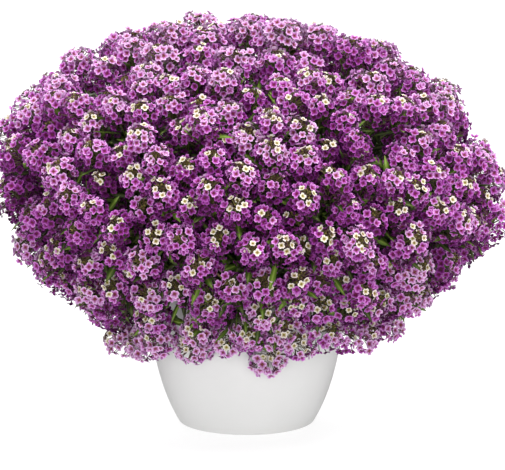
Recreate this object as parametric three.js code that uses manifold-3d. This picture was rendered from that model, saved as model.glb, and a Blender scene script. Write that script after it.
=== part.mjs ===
// Sweet alyssum in full bloom, a low cushion of flower heads overflowing its
// round nursery pot.  Millimetres, +Z up, front towards -Y, origin at the
// centre of the flat underside of the pot.
import * as THREE from 'three';
import { mergeVertices } from 'three/addons/utils/BufferGeometryUtils.js';
import Module from 'manifold-3d';

const wasm = await Module();
wasm.setup();

// Driving dimensions, millimetres.
const SEAT_GAP = 0.3;
const POT_FOOT_RADIUS = 51;
const POT_BELLY = new THREE.Vector2(73, 36);
const POT_RIM_RADIUS = 77;
const POT_HEIGHT = 115;
const POT_WALL = 2.2;
const POT_FLOOR = 2.5;
const POT_SIDES = 32;
const DRAIN_HOLES = 6;
const DRAIN_RADIUS = 4.5;
const DRAIN_RING = 34;
const MIX_TOP = 100;
const CROWN_RADIUS = 15;
const CROWN_CENTRE = new THREE.Vector3(0, 0, 104);
const SPRAYS = 18;
const SHOOTS = 15;
const STEM_RADIUS = 1.6;
const TWIG_RADIUS = 1;
const STALK_RADIUS = 0.8;
const FORK_RADIUS = 3.6;
const LEAF_WIDTH = 4.4;

// Outline of the flower cushion: height above the floor, radius.
const CUSHION = [
  [36, 80], [50, 90], [62, 98], [92, 122], [111, 147], [130, 165], [152, 179],
  [176, 187], [205, 184], [225, 174], [252, 157], [275, 125], [290, 84],
  [299, 40], [302, 0],
];
const CUSHION_HEART = new THREE.Vector3(0, 0, 145);
const HEAD_DEPTH = 0.935;

// The front of the cushion is set out as seen by an eye 2 m in front of it and
// 10 degrees above level, on a grid of 0.75 mm counted across and down.
const PLAN_UNIT = 0.75;
const PLAN_CENTRE = new THREE.Vector2(252.5, 235);
const PLAN_TARGET = new THREE.Vector3(4.5, 0, 141.6);
const PLAN_DISTANCE = 2000;
const PLAN_TILT = THREE.MathUtils.degToRad(10);

// Flower heads of the front: across, down, width of the head.
const FRONT_HEADS = [
  [33, 105, 32], [80, 64, 36], [61, 85, 26], [59, 107, 24], [80, 115, 32],
  [106, 68, 24], [50, 131, 26], [16, 134, 30], [133, 57, 32], [111, 100, 24],
  [127, 86, 24], [122, 115, 26], [97, 124, 22], [74, 135, 26], [160, 37, 38],
  [200, 33, 34], [248, 38, 32], [236, 64, 34], [199, 56, 26], [159, 62, 28],
  [144, 83, 24], [168, 87, 26], [187, 78, 24], [205, 87, 22], [227, 91, 30],
  [173, 107, 24], [196, 112, 24], [149, 103, 22], [137, 119, 28], [223, 121, 28],
  [186, 134, 26], [207, 134, 24], [249, 143, 30], [138, 147, 28], [294, 36, 36],
  [319, 42, 26], [350, 57, 34], [381, 57, 30], [306, 69, 34], [276, 69, 26],
  [326, 90, 24], [281, 94, 30], [257, 100, 26], [304, 96, 24], [320, 111, 26],
  [298, 114, 22], [269, 116, 26], [346, 109, 26], [368, 89, 28], [378, 111, 28],
  [299, 133, 32], [265, 134, 20], [337, 128, 22], [412, 90, 26], [443, 93, 28],
  [455, 119, 30], [399, 114, 28], [424, 114, 24], [438, 130, 26], [421, 141, 28],
  [390, 76, 24], [44, 160, 32], [18, 156, 26], [14, 181, 30], [66, 178, 28],
  [100, 159, 26], [124, 160, 28], [104, 181, 32], [76, 198, 28], [98, 203, 24],
  [53, 209, 26], [34, 221, 32], [90, 230, 32], [124, 231, 30], [31, 246, 32],
  [62, 251, 28], [94, 257, 30], [122, 251, 22], [131, 268, 26], [161, 149, 26],
  [160, 168, 24], [211, 154, 26], [228, 147, 18], [192, 172, 32], [214, 194, 28],
  [138, 181, 26], [167, 190, 24], [187, 210, 34], [237, 185, 30], [245, 209, 28],
  [161, 239, 26], [219, 241, 30], [256, 247, 30], [198, 263, 32], [180, 235, 24],
  [141, 213, 24], [147, 257, 22], [273, 151, 28], [303, 161, 32], [323, 147, 26],
  [346, 148, 28], [325, 184, 30], [366, 181, 32], [360, 159, 22], [276, 193, 32],
  [298, 202, 24], [342, 199, 30], [266, 219, 26], [289, 221, 20], [281, 239, 24],
  [348, 234, 34], [305, 249, 32], [370, 270, 28], [327, 240, 22], [333, 261, 24],
  [370, 226, 22], [456, 155, 28], [476, 162, 24], [399, 163, 32], [462, 189, 28],
  [493, 177, 30], [427, 180, 28], [432, 214, 32], [457, 223, 28], [389, 213, 30],
  [409, 239, 26], [477, 231, 24], [445, 263, 30], [416, 273, 30], [385, 184, 22],
  [410, 192, 22], [448, 205, 20], [481, 203, 24], [494, 220, 22], [464, 246, 20],
  [50, 271, 24], [68, 278, 24], [97, 285, 28], [119, 286, 24], [92, 304, 24],
  [112, 315, 26], [122, 334, 24], [149, 291, 34], [178, 287, 22], [213, 306, 34],
  [232, 283, 30], [247, 332, 32], [199, 328, 24], [192, 348, 28], [160, 334, 24],
  [141, 342, 20], [150, 317, 24], [229, 343, 20], [262, 281, 28], [264, 309, 28],
  [291, 303, 28], [320, 281, 24], [342, 290, 28], [301, 276, 22], [321, 333, 30],
  [300, 343, 26], [273, 358, 30], [282, 326, 24], [388, 321, 28], [364, 335, 28],
  [347, 340, 18], [356, 285, 20], [399, 295, 26], [438, 279, 22], [391, 272, 20],
  [372, 300, 22], [319, 306, 22], [351, 308, 20],
];

// Gaps of the front in which a leafy shoot shows: across, down.
const FRONT_GAPS = [
  [264, 78], [96, 97], [105, 132], [224, 104], [326, 124], [407, 210],
  [82, 212], [307, 222], [310, 287], [132, 322], [211, 320],
];

const v3 = (x, y, z) => new THREE.Vector3(x, y, z);

// Evenly scattered numbers in 0..1, one sequence for each stride.
function scatter(index, stride) {
  const value = 0.5 + index * stride;
  return value - Math.floor(value);
}

// ---------------------------------------------------------------- solids

function toSolid(geometry) {
  const bare = geometry.clone();
  bare.deleteAttribute('normal');
  bare.deleteAttribute('uv');
  const merged = mergeVertices(bare, 1e-4);
  const mesh = new wasm.Mesh({
    numProp: 3,
    vertProperties: Float32Array.from(merged.attributes.position.array),
    triVerts: Uint32Array.from(merged.index.array),
  });
  return new wasm.Manifold(mesh);
}

function toGeometry(solid) {
  const mesh = solid.getMesh();
  const geometry = new THREE.BufferGeometry();
  geometry.setAttribute('position', new THREE.BufferAttribute(mesh.vertProperties, 3));
  geometry.setIndex(new THREE.BufferAttribute(mesh.triVerts, 1));
  return geometry;
}

function joined(geometries) {
  const solids = geometries.map(toSolid);
  return toGeometry(solids.reduce((whole, next) => whole.add(next)));
}

// Turns an outline of (radius, height) points about the Z axis.
function turned(outline, sides) {
  const points = outline.map(([radius, height]) => new THREE.Vector2(radius, height));
  const geometry = new THREE.LatheGeometry(points, sides);
  geometry.rotateX(Math.PI / 2);
  return geometry;
}

// A body turned in rings, each ring set square to its own point of a bent axis.
// Every ring is { at, along, radius }; the first and the last may be points.
function ringed(rings, sides) {
  const profile = rings.map((ring, index) => new THREE.Vector2(ring.radius, index));
  profile.unshift(new THREE.Vector2(0, 0));
  profile.push(new THREE.Vector2(0, rings.length - 1));
  const ends = profile.filter((point, index) => index === 0 || !point.equals(profile[index - 1]));
  const geometry = new THREE.LatheGeometry(ends, sides);
  const position = geometry.attributes.position;
  const side = sideways(rings[0].along);
  for (let i = 0; i < position.count; i += 1) {
    const ring = rings[Math.round(position.getY(i))];
    const across = side.clone().addScaledVector(ring.along, -side.dot(ring.along)).normalize();
    const other = across.clone().cross(ring.along);
    const point = ring.at.clone();
    point.addScaledVector(across, position.getX(i));
    point.addScaledVector(other, position.getZ(i));
    position.setXYZ(i, point.x, point.y, point.z);
  }
  return geometry;
}

function sideways(direction) {
  const helper = Math.abs(direction.z) < 0.9 ? v3(0, 0, 1) : v3(1, 0, 0);
  return helper.cross(direction).normalize();
}

// ------------------------------------------------- capsules and clearance

function segmentGap(a, b, c, d) {
  const u = b.clone().sub(a);
  const v = d.clone().sub(c);
  const w = a.clone().sub(c);
  const uu = u.dot(u);
  const uv = u.dot(v);
  const vv = v.dot(v);
  const uw = u.dot(w);
  const vw = v.dot(w);
  const det = uu * vv - uv * uv;
  let s = det > 1e-9 ? THREE.MathUtils.clamp((uv * vw - vv * uw) / det, 0, 1) : 0;
  const t = THREE.MathUtils.clamp((vw + s * uv) / Math.max(vv, 1e-9), 0, 1);
  s = THREE.MathUtils.clamp((t * uv - uw) / Math.max(uu, 1e-9), 0, 1);
  return w.addScaledVector(u, s).addScaledVector(v, -t).length();
}

// Smallest free space between a capsule and the capsules of other bodies.
function clearance(capsule, others) {
  let best = Infinity;
  for (const other of others) {
    if (other.body !== capsule.body) {
      const gap = segmentGap(capsule.a, capsule.b, other.a, other.b);
      best = Math.min(best, gap - capsule.radius - other.radius);
    }
  }
  return best;
}

// -------------------------------------------------------------- the cushion

function cushionLean(z) {
  return 2.5 - 10.5 * THREE.MathUtils.smoothstep(z, 180, 290);
}

function cushionRadius(z) {
  if (z >= CUSHION[CUSHION.length - 1][0]) {
    return CUSHION[CUSHION.length - 1][0] - z;
  }
  const above = Math.max(1, CUSHION.findIndex(([height]) => height > z));
  const [z0, r0] = CUSHION[above - 1];
  const [z1, r1] = CUSHION[above];
  return THREE.MathUtils.mapLinear(Math.max(z, z0), z0, z1, r0, r1);
}

// Negative inside the shell on which the heads sit, positive outside it.
function outside(point) {
  const p = point.clone().sub(CUSHION_HEART).divideScalar(HEAD_DEPTH).add(CUSHION_HEART);
  return Math.hypot(p.x - cushionLean(p.z), p.y) - cushionRadius(p.z);
}

function outwards(point) {
  const step = 4;
  const here = (x, y, z) => outside(point.clone().add(v3(x, y, z)));
  return v3(
    here(step, 0, 0) - here(-step, 0, 0),
    here(0, step, 0) - here(0, -step, 0),
    here(0, 0, step) - here(0, 0, -step),
  ).normalize();
}

const VIEW = v3(0, Math.cos(PLAN_TILT), -Math.sin(PLAN_TILT));
const VIEW_UP = v3(0, Math.sin(PLAN_TILT), Math.cos(PLAN_TILT));

// Where the sight line through a place of the plan meets the shell.
function fromPlan(across, down) {
  const eye = PLAN_TARGET.clone().addScaledVector(VIEW, -PLAN_DISTANCE);
  const ray = VIEW.clone().multiplyScalar(PLAN_DISTANCE);
  ray.x += (across - PLAN_CENTRE.x) * PLAN_UNIT;
  ray.addScaledVector(VIEW_UP, (PLAN_CENTRE.y - down) * PLAN_UNIT);
  let nearest = null;
  let least = Infinity;
  for (let t = 0.86; t < 1.06; t += 0.001) {
    const point = eye.clone().addScaledVector(ray, t);
    const value = outside(point);
    if (value < least) {
      least = value;
      nearest = point;
    }
    if (value <= 0) {
      break;
    }
  }
  return nearest;
}

// A direction from the heart of the cushion to the shell.
function toShell(direction) {
  let near = 20;
  let far = 260;
  while (far - near > 0.1) {
    const middle = (near + far) / 2;
    const value = outside(CUSHION_HEART.clone().addScaledVector(direction, middle));
    near = value < 0 ? middle : near;
    far = value < 0 ? far : middle;
  }
  return CUSHION_HEART.clone().addScaledVector(direction, near);
}

function spiralDirection(index, count, top, bottom) {
  const z = THREE.MathUtils.lerp(top, bottom, (index + 0.5) / count);
  const angle = index * Math.PI * (3 - Math.sqrt(5));
  const flat = Math.sqrt(1 - z * z);
  return v3(flat * Math.cos(angle), flat * Math.sin(angle), z);
}

// ---------------------------------------------------------------- the heads

function makeHead(centre, radius, picked) {
  return { centre, radius, picked };
}

function pickedHeads() {
  return FRONT_HEADS.map(([across, down, width], index) => {
    const centre = fromPlan(across, down);
    const depth = (scatter(index, 0.7548776662) - 0.5) * 8;
    centre.addScaledVector(outwards(centre), depth - 1);
    const radius = 3.6 + 0.23 * width;
    return makeHead(centre, radius, true);
  });
}

// Heads of the back, the flanks and the underside, wherever there is room.
function addSpareHeads(heads) {
  const tries = 2600;
  for (let i = 0; i < tries; i += 1) {
    const direction = spiralDirection(i, tries, 0.999, -0.76);
    const centre = toShell(direction);
    const facing = -outwards(centre).dot(VIEW);
    const radius = 9.4 + 2.2 * scatter(i, 0.5698402910);
    const free = heads.every((head) => {
      const needed = (head.radius + radius) * (head.picked ? 1.18 : 1.3) + 1;
      return head.centre.distanceTo(centre) > needed;
    });
    if (facing < 0.3 && free && centre.z > 66) {
      centre.addScaledVector(outwards(centre), (scatter(i, 0.7548776662) - 0.5) * 8);
      heads.push(makeHead(centre, radius, false));
    }
  }
}

// Eases crowded heads apart.
function spread(heads) {
  for (let round = 0; round < 60; round += 1) {
    for (let i = 0; i < heads.length; i += 1) {
      for (let j = i + 1; j < heads.length; j += 1) {
        const apart = heads[j].centre.clone().sub(heads[i].centre);
        const needed = (heads[i].radius + heads[j].radius) * 1.06 + 1.2;
        const short = needed - apart.length();
        if (short > 0) {
          apart.normalize().multiplyScalar(short * 0.5);
          heads[j].centre.add(apart);
          heads[i].centre.sub(apart);
        }
      }
    }
  }
}

// Heads turn outwards and up towards the light.
function aimHead(head) {
  const out = outwards(head.centre);
  const lift = Math.max(out.z, out.z / 2) + 0.55;
  head.axis = v3(out.x * 0.7, out.y, lift).normalize();
  head.base = head.centre.clone().addScaledVector(head.axis, -head.radius * 1.15);
  head.tip = head.centre.clone().addScaledVector(head.axis, head.radius * 1.15);
  head.capsule = {
    a: head.centre.clone().addScaledVector(head.axis, -head.radius * 0.25),
    b: head.centre.clone().addScaledVector(head.axis, head.radius * 0.2),
    radius: head.radius,
    body: head,
  };
}

// --------------------------------------------------------- stems and stalks

function forkPlace(direction) {
  const shell = toShell(direction);
  const fork = CUSHION_HEART.clone().lerp(shell, 0.56);
  const flat = Math.hypot(fork.x, fork.y);
  if (direction.z < 0.1) {
    const reach = Math.max(flat, 108) / flat;
    fork.x *= reach;
    fork.y *= reach;
    fork.z = Math.max(fork.z, 133);
  }
  return fork;
}

// A main stem rises from the crown, arches over the rim and ends at its fork.
function makeStem(index) {
  const direction = spiralDirection(index, SPRAYS, 1, -0.5);
  const fork = forkPlace(direction);
  const start = direction.clone();
  start.z = Math.max(start.z, 0) * 0.8 + 0.45;
  start.normalize();
  const from = CROWN_CENTRE.clone().addScaledVector(start, CROWN_RADIUS + SEAT_GAP);
  const length = from.distanceTo(fork);
  const knee = from.clone().lerp(fork, 0.5).add(v3(0, 0, length * 0.1));
  const arrive = fork.clone().sub(knee).normalize();
  const end = fork.clone().addScaledVector(arrive, -FORK_RADIUS - SEAT_GAP);
  const curve = new THREE.QuadraticBezierCurve3(from, knee, end);
  return { fork, arrive, curve, body: `spray${index}`, load: 0 };
}

function curveCapsules(curve, radius, body, steps) {
  const points = curve.getPoints(steps);
  return points.slice(1).map((b, index) => ({ a: points[index], b, radius, body }));
}

function tube(curve, radius, steps, sides) {
  const rings = [];
  for (let i = 0; i <= steps; i += 1) {
    rings.push({ at: curve.getPoint(i / steps), along: curve.getTangent(i / steps), radius });
  }
  return ringed(rings, sides);
}

function rimCapsules() {
  const rim = [];
  for (let i = 0; i <= 24; i += 1) {
    const angle = (i * Math.PI) / 12;
    rim.push(v3(Math.cos(angle), Math.sin(angle), 0).multiplyScalar(POT_RIM_RADIUS - 0.5));
  }
  rim.forEach((point) => point.setZ(POT_HEIGHT - 1));
  return rim.slice(1).map((b, index) => ({ a: rim[index], b, radius: 3.5, body: 'pot' }));
}

// Each head joins the nearest fork that it can reach past the other heads.
function joinHeads(heads, stems) {
  const placed = stems.flatMap((stem) => curveCapsules(stem.curve, STEM_RADIUS, stem.body, 8));
  stems.forEach((stem) => {
    placed.push({ a: stem.fork, b: stem.fork, radius: FORK_RADIUS, body: stem.body });
  });
  placed.push(...rimCapsules());
  const domes = heads.map((head) => head.capsule);
  for (const head of heads) {
    const cost = (stem) => stem.fork.distanceTo(head.base) + 1.2 * stem.load;
    const choices = [...stems].sort((one, two) => cost(one) - cost(two));
    for (const stem of choices.slice(0, 9)) {
      const stalk = { a: stem.fork, b: head.base, radius: STALK_RADIUS, body: stem.body };
      const past = domes.filter((dome) => dome.body !== head);
      const room = Math.min(clearance(stalk, placed), clearance(stalk, past));
      const dome = { ...head.capsule, body: stem.body };
      if (room > 0.6 && clearance(dome, placed) > 0.5) {
        head.stem = stem;
        stem.load += 1;
        placed.push(stalk);
        break;
      }
    }
  }
  return placed;
}

function headBody(head) {
  const stalk = head.base.clone().sub(head.stem.fork).normalize();
  const turn = stalk.clone().add(head.axis).normalize();
  const along = (share) => head.centre.clone().addScaledVector(head.axis, head.radius * share);
  return ringed([
    { at: head.stem.fork, along: stalk, radius: STALK_RADIUS * 0.6 },
    { at: head.base, along: turn, radius: STALK_RADIUS },
    { at: along(-0.35), along: head.axis, radius: head.radius },
    { at: along(0.55), along: head.axis, radius: head.radius * 0.78 },
    { at: head.tip, along: head.axis, radius: 0 },
  ], 4);
}

// The knot in which the flower stalks of a spray meet, pointed at its stem.
function forkBody(stem) {
  const ring = (share, width) => ({
    at: stem.fork.clone().addScaledVector(stem.arrive, FORK_RADIUS * share),
    along: stem.arrive,
    radius: FORK_RADIUS * width,
  });
  return ringed([ring(-1, 0), ring(-0.5, 0.87), ring(0.5, 0.87), ring(1, 0)], 6);
}

// ------------------------------------------------------------ leafy shoots

// A leaf is lance shaped, widest past its middle, and keeled.
function leafBody(foot, direction, length) {
  const ring = (share, width) => ({
    at: foot.clone().addScaledVector(direction, length * share),
    along: direction,
    radius: (LEAF_WIDTH / 2) * width,
  });
  const geometry = ringed([ring(0, 0), ring(0.3, 0.75), ring(0.65, 1), ring(1, 0)], 4);
  const flat = sideways(direction);
  const position = geometry.attributes.position;
  for (let i = 0; i < position.count; i += 1) {
    const point = v3(position.getX(i), position.getY(i), position.getZ(i));
    const height = point.clone().sub(foot).dot(flat);
    point.addScaledVector(flat, -0.7 * height);
    position.setXYZ(i, point.x, point.y, point.z);
  }
  return geometry;
}

function makeShoot(target, turn, body) {
  const out = target.clone().sub(CROWN_CENTRE).normalize();
  const lift = Math.max(out.z, 0) * 0.8 + 0.45 + turn.y;
  const start = v3(out.x, out.y, Math.max(lift, 0.3)).normalize();
  start.applyAxisAngle(v3(0, 0, 1), turn.x);
  const from = CROWN_CENTRE.clone().addScaledVector(start, CROWN_RADIUS + SEAT_GAP);
  const knee = from.clone().lerp(target, 0.45);
  knee.z += from.distanceTo(target) * 0.07;
  if (target.z < POT_HEIGHT + 20) {
    const flat = Math.hypot(target.x, target.y);
    knee.set((target.x * 95) / flat, (target.y * 95) / flat, 172);
  }
  const curve = new THREE.QuadraticBezierCurve3(from, knee, target);
  return { curve, body, capsules: curveCapsules(curve, TWIG_RADIUS, body, 8) };
}

// Tries places close to the wanted one and keeps the roomiest.
function roomiestShoot(wanted, placed, body) {
  let best = null;
  let most = -Infinity;
  const side = sideways(outwards(wanted));
  const up = side.clone().cross(outwards(wanted));
  for (let i = 0; i < 240; i += 1) {
    const reach = 0.95 * Math.sqrt(i);
    const target = wanted.clone().addScaledVector(side, reach * Math.cos(i * 2.4));
    target.addScaledVector(up, reach * Math.sin(i * 2.4));
    const turn = new THREE.Vector2(scatter(i, 0.7548776662), scatter(i, 0.5698402910));
    const shoot = makeShoot(target, turn.subScalar(0.5), body);
    const room = Math.min(...shoot.capsules.map((capsule) => clearance(capsule, placed)));
    if (room - reach * 0.03 > most) {
      most = room - reach * 0.03;
      best = shoot;
      best.room = room;
    }
  }
  return best;
}

function addLeaves(shoot, placed, count) {
  const parts = [tube(shoot.curve, TWIG_RADIUS, 6, 4)];
  shoot.leaves = [];
  for (let i = 0; i < count; i += 1) {
    const share = 0.36 + (0.62 * i) / (count - 1);
    const foot = shoot.curve.getPoint(share);
    const along = shoot.curve.getTangent(share);
    const side = sideways(along).applyAxisAngle(along, i * 2.4);
    const length = 30 - 9 * (i / (count - 1));
    for (const tilt of [0.95, 0.7, 0.5, 0.35, 0.22, 0.12]) {
      const direction = along.clone().multiplyScalar(Math.cos(tilt));
      direction.addScaledVector(side, Math.sin(tilt));
      const tip = foot.clone().addScaledVector(direction, length);
      const near = foot.clone().addScaledVector(direction, length * 0.3);
      const leaf = { a: near, b: tip, radius: LEAF_WIDTH / 2, body: shoot.body };
      if (clearance(leaf, placed) > 0.5) {
        parts.push(leafBody(foot, direction, length));
        placed.push(leaf);
        break;
      }
    }
  }
  return parts;
}

function makeShoots(placed) {
  const wanted = FRONT_GAPS.map(([across, down]) => {
    const place = fromPlan(across, down);
    return place.lerp(CUSHION_HEART, 0.13);
  });
  const candidates = [];
  for (let i = 0; i < 160; i += 1) {
    const place = toShell(spiralDirection(i, 160, 0.98, -0.25)).lerp(CUSHION_HEART, 0.16);
    if (-outwards(place).dot(VIEW) < 0.2) {
      const shoot = makeShoot(place, new THREE.Vector2(), 'try');
      const room = Math.min(...shoot.capsules.map((capsule) => clearance(capsule, placed)));
      candidates.push({ place, room });
    }
  }
  candidates.sort((one, two) => two.room - one.room);
  for (const { place } of candidates) {
    if (wanted.length < SHOOTS && wanted.every((other) => other.distanceTo(place) > 75)) {
      wanted.push(place);
    }
  }
  return wanted.map((place, index) => {
    const shoot = roomiestShoot(place, placed, `shoot${index}`);
    placed.push(...shoot.capsules);
    shoot.parts = addLeaves(shoot, placed, 5);
    return shoot;
  });
}

// ------------------------------------------------------- pot, mix and crown

function wallOutline(inset, from, to, steps) {
  const foot = new THREE.Vector2(POT_FOOT_RADIUS, 0);
  const rim = new THREE.Vector2(POT_RIM_RADIUS, POT_HEIGHT);
  const curve = new THREE.QuadraticBezierCurve(foot, POT_BELLY, rim);
  const points = [];
  for (let i = 0; i <= steps; i += 1) {
    const t = THREE.MathUtils.lerp(from, to, i / steps);
    const point = curve.getPoint(t);
    const tangent = curve.getTangent(t);
    points.push([point.x - tangent.y * inset, point.y + tangent.x * inset]);
  }
  return points;
}

function potBody() {
  const inner = wallOutline(POT_WALL, 0.09, 0.98, 4);
  const outline = [
    [0, 0],
    [POT_FOOT_RADIUS - 3.5, 0],
    [POT_FOOT_RADIUS - 0.6, 1.2],
    ...wallOutline(0, 0.06, 0.97, 4),
    [POT_RIM_RADIUS + 1.6, POT_HEIGHT - 2],
    [POT_RIM_RADIUS + 1.5, POT_HEIGHT + 0.4],
    [POT_RIM_RADIUS - 0.4, POT_HEIGHT + 1.4],
    [POT_RIM_RADIUS - 2.2, POT_HEIGHT + 0.3],
    ...inner.reverse(),
    [POT_FOOT_RADIUS - 2, POT_FLOOR],
    [0, POT_FLOOR],
  ];
  let pot = toSolid(turned(outline, POT_SIDES));
  for (let i = 0; i < DRAIN_HOLES; i += 1) {
    const angle = (i * 2 * Math.PI) / DRAIN_HOLES;
    const hole = turned([[0, -2], [DRAIN_RADIUS, -2], [DRAIN_RADIUS, 5], [0, 5]], 8);
    hole.translate(DRAIN_RING * Math.cos(angle), DRAIN_RING * Math.sin(angle), 0);
    pot = pot.subtract(toSolid(hole));
  }
  return toGeometry(pot);
}

function mixBody() {
  const wall = wallOutline(POT_WALL + SEAT_GAP + 0.25, 0.1, 0.84, 4);
  const pit = CROWN_RADIUS + SEAT_GAP;
  return turned([
    [0, POT_FLOOR + SEAT_GAP],
    [POT_FOOT_RADIUS - 3.2, POT_FLOOR + SEAT_GAP],
    ...wall,
    [58, MIX_TOP - 1],
    [34, MIX_TOP + 1],
    [pit, MIX_TOP],
    [pit, MIX_TOP - 6 - SEAT_GAP],
    [0, MIX_TOP - 6 - SEAT_GAP],
  ], POT_SIDES);
}

function crownBody() {
  const z = CROWN_CENTRE.z;
  const outline = [[0, MIX_TOP - 6], [CROWN_RADIUS - 1, MIX_TOP - 6], [CROWN_RADIUS - 0.2, z - 3]];
  for (let i = 0; i <= 3; i += 1) {
    const angle = (i * Math.PI) / 6;
    outline.push([CROWN_RADIUS * Math.cos(angle), z + CROWN_RADIUS * Math.sin(angle)]);
  }
  outline[outline.length - 1][0] = 0;
  return turned(outline, 14);
}

// ---------------------------------------------------------------- assembly

const GREEN = 0x5f7d2c;
const plant = new THREE.Group();

function add(name, geometry, colour, roughness) {
  const ready = geometry.clone();
  ready.deleteAttribute('normal');
  ready.deleteAttribute('uv');
  const clean = mergeVertices(ready, 1e-4);
  clean.computeVertexNormals();
  const material = new THREE.MeshStandardMaterial({ color: colour, roughness });
  const mesh = new THREE.Mesh(clean, material);
  mesh.name = name;
  plant.add(mesh);
}

const numbered = (name, index) => `${name}_${String(index + 1).padStart(2, '0')}`;

const heads = pickedHeads();
addSpareHeads(heads);
spread(heads);
heads.forEach(aimHead);
const stems = Array.from({ length: SPRAYS }, (_, index) => makeStem(index));
const placed = joinHeads(heads, stems);
const reached = heads.filter((head) => head.stem);
reached.forEach((head) => placed.push({ ...head.capsule, body: head.stem.body }));
const shoots = makeShoots(placed);

add('pot', potBody(), 0xf2f2f0, 0.45);
add('potting_mix', mixBody(), 0x3a2a1e, 0.95);
add('root_crown', crownBody(), 0x7a6a3a, 0.8);
stems.forEach((stem, index) => {
  add(numbered('main_stem', index), tube(stem.curve, STEM_RADIUS, 4, 5), GREEN, 0.6);
});
stems.forEach((stem, index) => {
  const own = reached.filter((head) => head.stem === stem).map(headBody);
  add(numbered('flower_spray', index), joined([forkBody(stem), ...own]), 0xa45aa4, 0.7);
});
shoots.forEach((shoot, index) => {
  add(numbered('leafy_shoot', index), joined(shoot.parts), 0x4f7a1e, 0.6);
});

export default plant;
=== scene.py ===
"""A potted sweet alyssum in full bloom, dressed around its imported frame.

The frame holds plain solids: a dome for each flower head on its stalk, a few leaves on each leafy
shoot, the main stems, the crown, the potting mix and the pot. Each is found by its own shape and
gets the small flowers, buds, leaves and stems that it stands for.
"""

import math
import random

import bmesh
import bpy
from mathutils import Matrix, Vector, noise


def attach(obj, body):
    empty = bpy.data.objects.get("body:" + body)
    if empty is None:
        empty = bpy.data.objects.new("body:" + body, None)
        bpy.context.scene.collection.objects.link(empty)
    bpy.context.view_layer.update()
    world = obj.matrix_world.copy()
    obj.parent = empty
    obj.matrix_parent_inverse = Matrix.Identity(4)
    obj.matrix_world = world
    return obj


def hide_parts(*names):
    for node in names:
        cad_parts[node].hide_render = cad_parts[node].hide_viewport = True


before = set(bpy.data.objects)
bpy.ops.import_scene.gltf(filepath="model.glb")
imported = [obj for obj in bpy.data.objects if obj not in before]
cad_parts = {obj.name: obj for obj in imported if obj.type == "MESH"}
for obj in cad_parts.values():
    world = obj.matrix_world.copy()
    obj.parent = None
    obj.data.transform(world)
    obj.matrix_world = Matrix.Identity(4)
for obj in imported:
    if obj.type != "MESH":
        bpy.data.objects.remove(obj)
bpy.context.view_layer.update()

MM = 0.001
GOLDEN_TURN = math.pi * (3 - math.sqrt(5))
SHADE_MAP = "OFBake"  # u runs from the heart of a petal or leaf to its edge, v is its shade

# Sizes are in millimetres and angles in radians, where nothing else is said

# Flowers
PETALS = 4
PETAL_LENGTH = 3
ROUND_PETAL = [(0, 0), (1.6, 0.55), (1.1, 1.0)]  # corners: half width, and share of the length
OLD_PETAL = [(0, 0), (1.6, 0.66), (0, 1.0)]
PETAL_MIDDLE = 0.56  # share of the length at which a petal is thickest
PETAL_DOME = 0.14  # how far its upper side stands out there
PETAL_RISES = (0.8, 1.6, 1.3, 0.9, 1.5)  # of the petals' ends, from the newest to the oldest flower
PETAL_BEND = 1.4  # power of the length with which a petal rises
OLDEST = len(PETAL_RISES) - 1
THROAT_RADIUS = 0.04
HEART_RADIUS = 0.6
HEART_LIFT = 0.2
CALYX_RADIUS = 0.42
CALYX_GAP = 0.15  # from a flower back to its calyx
WHITE_SIZE = 0.8  # of the newest flowers, and of the older purple ones
PURPLE_SIZE = 0.9
SIZE_RANGE = (0.9, 1.1)  # of single flowers, against those sizes
SIZE_GROWTH = 0.35  # power of a head's spread with which its flowers grow

# Buds
BUDS = 13
BUD_LENGTH = 2.6
BUD_WIDTH = 2.3
BUD_SIZES = (0.65, 1.1)  # at the tip of a head and beside its first flowers
BUD_CLUSTER = 2.4  # radius of the little dome that the feet of the buds stand on
BUD_DEPTH = 3.4  # from the tip of a head to the middle of that dome
BUD_SPREAD = 1.15  # lean of the outermost bud
FIRST_BUD = 0.4  # share of a step by which the first bud is off the tip
BUD_SHADE = (0.5, 0.25)  # mean and scatter

# Flower heads. Their radius and length are measured against the radius of the head's solid
DOME_SHARE = (1.02, 1.38)  # radius of a crowded and a free dome
HEAD_LENGTH = 2.3
RING_SHARE = 0.78  # radius of the ring of points below a solid's tip
ROOM_SHARE = 0.43  # of the way to its neighbours that a free dome fills
ROOM_NEIGHBOURS = 4
RECESS_NEIGHBOURS = 6
NEIGHBOUR_DISTANCE = 45  # past which domes can't run into each other
HIDDEN_DEPTH = 1  # depth in a neighbour's dome past which a flower is left out
BUD_RING = 3.8  # from the tip of a head to its first flowers
SPREAD_GROWTH = 1.4  # power of a dome's radius with which its flowers stand apart
FLOWER_PATCH = (16, 21)  # square millimetres of dome that each new and older flower has to itself
SKIRT = (4, 24)  # how far the older flowers go on below the dome
SKIRT_PATCH = 28
SKIRT_TAPER = 0.2  # of a skirt, for each millimetre of it
SKIRT_LOOK = 0.4  # more that the flowers look down at the foot of a skirt
SAG = 0.5  # of a skirt, for each millimetre of it
SAG_HEIGHTS = (85, 125)  # height of a head up to which it has none of that, and from which all
OUTWARD_LOOK = 0.92  # of the angle to its place on the dome, by which a flower looks outwards
THREAD_FALL = (3.2, 0.2)  # of a thin stalk, and more of it for each millimetre from the middle
THREAD_SAG = 0.4  # of what the skirt sags, at the foot of a thin stalk

# How unevenly the flowers of a head stand, as standard deviations
OVAL_SCATTER = 0.13
LEAN_SCATTER = 0.06
TURN_SCATTER = 0.15
REACH_SCATTER = 0.09
LOOK_SCATTER = 0.26

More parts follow.
